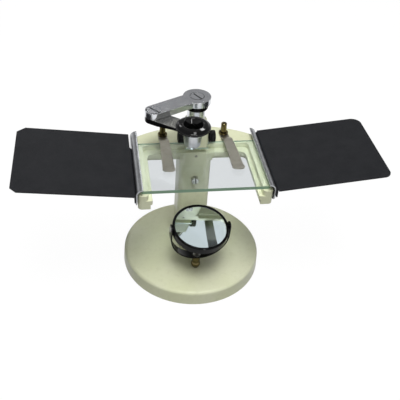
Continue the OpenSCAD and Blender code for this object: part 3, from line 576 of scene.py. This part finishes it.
def turned_ring(name, radius, height, place_points):
    """A closed ring on a grid with a row for each profile point and a column for each angle round its axis.

    The point at angle a is (radius cos a, radius sin a, height). place_points takes them all to their place.
    """
    rows, columns = radius.shape
    angles = np.linspace(0.0, 2 * np.pi, columns, endpoint=False)
    points = place_points(np.stack([radius * np.cos(angles), radius * np.sin(angles), height], axis=-1))
    row, column = np.meshgrid(np.arange(rows), np.arange(columns), indexing="ij")
    next_row = (row + 1) % rows
    next_column = (column + 1) % columns
    corners = ((row, column), (row, next_column), (next_row, next_column), (next_row, column))
    faces = np.stack([i * columns + j for i, j in corners], axis=-1)
    mesh = bpy.data.meshes.new(name)
    mesh.from_pydata(points.reshape(-1, 3).tolist(), [], faces.reshape(-1, 4).tolist())
    shell = bmesh.new()
    shell.from_mesh(mesh)
    bmesh.ops.recalc_face_normals(shell, faces=shell.faces)
    shell.to_mesh(mesh)
    shell.free()
    mesh.shade_smooth()
    mesh.set_sharp_from_angle(angle=math.radians(SMOOTH_UP_TO))
    piece = bpy.data.objects.new(name, mesh)
    bpy.context.collection.objects.link(piece)
    return piece


def stop_collar():
    """The black disc on the focusing rod, close under the upper arm's head. Its rim tapers in at the foot."""
    low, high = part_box("collar")
    middle = np.array([(low[0] + high[0]) / 2, (low[1] + high[1]) / 2, 0.0])
    top = high[2] / MM
    foot = top - COLLAR_HEIGHT
    corners = [
        (COLLAR_BORE, foot, 0.1),
        (COLLAR_FOOT, foot, 0.2),
        (COLLAR_RIM, foot + COLLAR_TAPER, 0.4),
        (COLLAR_RIM, top, 0.15),
        (COLLAR_BORE, top, 0.1),
    ]
    profile = rounded_loop(corners)
    radius = np.repeat(profile[:, :1], COLLAR_SEGMENTS, axis=1)
    height = np.repeat(profile[:, 1:], COLLAR_SEGMENTS, axis=1)
    piece = turned_ring("stop_collar", radius, height, lambda points: points + middle)
    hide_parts("collar")
    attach(piece, "lens_post")
    return piece


def fluted_radius(profile, length, edge):
    """Radii of a knob's grid: each profile row's own radius less depth x grip x wave.

    wave goes from 0 to 1 and back once across each flute. grip is 1 along the rim, falls to 0 towards both
    its ends, and is 0 on rows well inside it.
    """
    angles = np.linspace(0.0, 2 * np.pi, FLUTES * FLUTE_STEPS, endpoint=False)
    wave = 0.5 - 0.5 * np.cos(FLUTES * angles)
    along = profile[:, 1] / (length * MM)
    rising = np.clip((along - FLUTE_BEGIN) / FLUTE_RUN_OUT, 0.0, 1.0)
    falling = np.clip((FLUTE_END - along) / FLUTE_RUN_OUT, 0.0, 1.0)
    grip = rising * falling * (profile[:, 0] > (edge - FLUTE_REACH) * MM)
    return profile[:, :1] - FLUTE_DEPTH * MM * grip[:, None] * wave[None, :]


def grip_knob(side):
    """A focusing knob, to the right where side is 1 and to the left where it is -1.

    Its rim is fluted along the axis. Its outer face has a sunk ring round a hole that shows the shaft's end.
    The profile's height is the distance from the knob's inner face, and side turns it outwards.
    """
    name = "knob_right" if side > 0 else "knob_left"
    low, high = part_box(name)
    inner = min(abs(low[0]), abs(high[0]))
    middle = np.array([0.0, (low[1] + high[1]) / 2, (low[2] + high[2]) / 2])
    edge = (high[2] - low[2]) / 2 / MM
    length = (max(abs(low[0]), abs(high[0])) - inner) / MM
    sunk_inner, sunk_outer = KNOB_SUNK_RADII
    corners = [
        (KNOB_HOLE, 0.0, 0.1),
        (edge - KNOB_BEVEL, 0.0, 0.3),
        (edge, KNOB_BEVEL, 0.4),
        (edge, length / 2, 0.3),
        (edge, length, 1.1),
        (sunk_outer, length, 0.3),
        (sunk_inner, length - KNOB_SUNK_DEPTH, 0.2),
        (KNOB_HOLE, length - KNOB_SUNK_DEPTH, 0.1),
    ]
    profile = rounded_loop(corners)
    radius = fluted_radius(profile, length, edge)
    height = np.broadcast_to(profile[:, 1:], radius.shape)

    def along_shaft(points):
        turned = np.stack([side * (points[..., 2] + inner), points[..., 0], points[..., 1]], axis=-1)
        return turned + middle

    piece = turned_ring(f"fluted_{name}", radius, height, along_shaft)
    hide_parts(name)
    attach(piece, "pinion_shaft")
    return piece


def dress_parts():
    """Gives every part its finish, and puts the collar and the knobs in place of their plain solids."""
    finish = finishes()
    for name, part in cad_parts.items():
        part.data.materials.clear()
        part.data.materials.append(finish[name])
    stop_collar().data.materials.append(finish["collar"])
    grip_knob(-1).data.materials.append(finish["knob_left"])
    grip_knob(1).data.materials.append(finish["knob_right"])


def seen_by(tree, *kinds):
    """1 for the kinds of rays named, 0 for all others."""
    rays = node(tree, "ShaderNodeLightPath")
    seen = rays.outputs[kinds[0]]
    for kind in kinds[1:]:
        seen = node(tree, "ShaderNodeMath", {0: seen, 1: rays.outputs[kind]}, operation="MAXIMUM").outputs[0]
    return seen


def paper_floor():
    """Plain white paper under the base. Where it is seen, most of it is its own even white, and the rest
    takes light and the object's shadow."""
    half = FLOOR_HALF
    corners = [(x, y, -FLOOR_DROP) for x, y in ((-half, -half), (half, -half), (half, half), (-half, half))]
    mesh = bpy.data.meshes.new("floor")
    mesh.from_pydata(corners, [], [(0, 1, 2, 3)])
    floor = bpy.data.objects.new("floor", mesh)
    bpy.context.collection.objects.link(floor)
    material, tree = blank("white_paper")
    lit = node(tree, "ShaderNodeBsdfDiffuse", {"Color": "959595"})
    plain = node(tree, "ShaderNodeEmission", {"Color": "FFFFFF", "Strength": PAPER_WHITE})
    seen = seen_by(tree, "Is Camera Ray", "Is Glossy Ray", "Is Transmission Ray")
    share = node(tree, "ShaderNodeMath", {0: seen, 1: PAPER_SHARE}, operation="MULTIPLY").outputs[0]
    mixed = node(tree, "ShaderNodeMixShader", {0: share, 1: lit.outputs[0], 2: plain.outputs[0]})
    mesh.materials.append(surface(material, mixed))


def white_room():
    """White surroundings: dim as light, white to the camera and through glass, fading upwards in metal."""
    world = bpy.data.worlds.new("white_room")
    bpy.context.scene.world = world
    world.use_nodes = True
    tree = world.node_tree
    tree.nodes.clear()
    dim = node(tree, "ShaderNodeBackground", {"Color": "FFFFFF", "Strength": ROOM_LIGHT})
    white = node(tree, "ShaderNodeBackground", {"Color": "FFFFFF", "Strength": ROOM_SEEN})
    direction = node(tree, "ShaderNodeTexCoord").outputs["Generated"]
    height = node(tree, "ShaderNodeSeparateXYZ", {"Vector": direction}).outputs["Z"]
    fading = node(tree, "ShaderNodeMapRange", spread(height, ROOM_FADE, ROOM_IN_METAL)).outputs[0]
    glossy = seen_by(tree, "Is Glossy Ray")
    in_metal = node(tree, "ShaderNodeMath", {0: glossy, 1: fading}, operation="MULTIPLY").outputs[0]
    directly = seen_by(tree, "Is Camera Ray", "Is Transmission Ray")
    share = node(tree, "ShaderNodeMath", {0: directly, 1: in_metal}, operation="MAXIMUM").outputs[0]
    mixed = node(tree, "ShaderNodeMixShader", {0: share, 1: dim.outputs[0], 2: white.outputs[0]})
    node(tree, "ShaderNodeOutputWorld", {"Surface": mixed.outputs[0]})


def lamp(name, place, side, watts, shows):
    """A square softbox, aimed just under the stage. With shows False, metal and glass don't show it."""
    light = bpy.data.lights.new(name, "AREA")
    light.size = side
    light.energy = watts
    made = bpy.data.objects.new(name, light)
    bpy.context.collection.objects.link(made)
    made.location = place
    aim = Vector(LAMP_AIM) - Vector(place)
    made.rotation_euler = aim.to_track_quat("-Z", "Y").to_euler()
    made.visible_glossy = shows
    made.visible_transmission = shows


def camera():
    """The photograph's viewpoint: in front, above and slightly to the left, leaning a little."""
    back = Vector(CAMERA_BACK).normalized()
    up = back.cross(Vector(CAMERA_RIGHT)).normalized()
    right = up.cross(back)
    view = bpy.data.cameras.new("photo_camera")
    view.sensor_fit = "HORIZONTAL"
    view.sensor_width = SENSOR_WIDTH
    view.lens = SENSOR_WIDTH * FOCAL_PIXELS / PHOTO_PIXELS
    made = bpy.data.objects.new("photo_camera", view)
    bpy.context.collection.objects.link(made)
    turn = Matrix((right, up, back)).transposed().to_4x4()
    made.matrix_world = Matrix.Translation(Vector(CAMERA_PLACE) * MM) @ turn
    bpy.context.scene.camera = made


camera()
dress_parts()
paper_floor()
white_room()
for settings in LAMPS:
    lamp(*settings)
bpy.context.scene.view_settings.view_transform = "Standard"
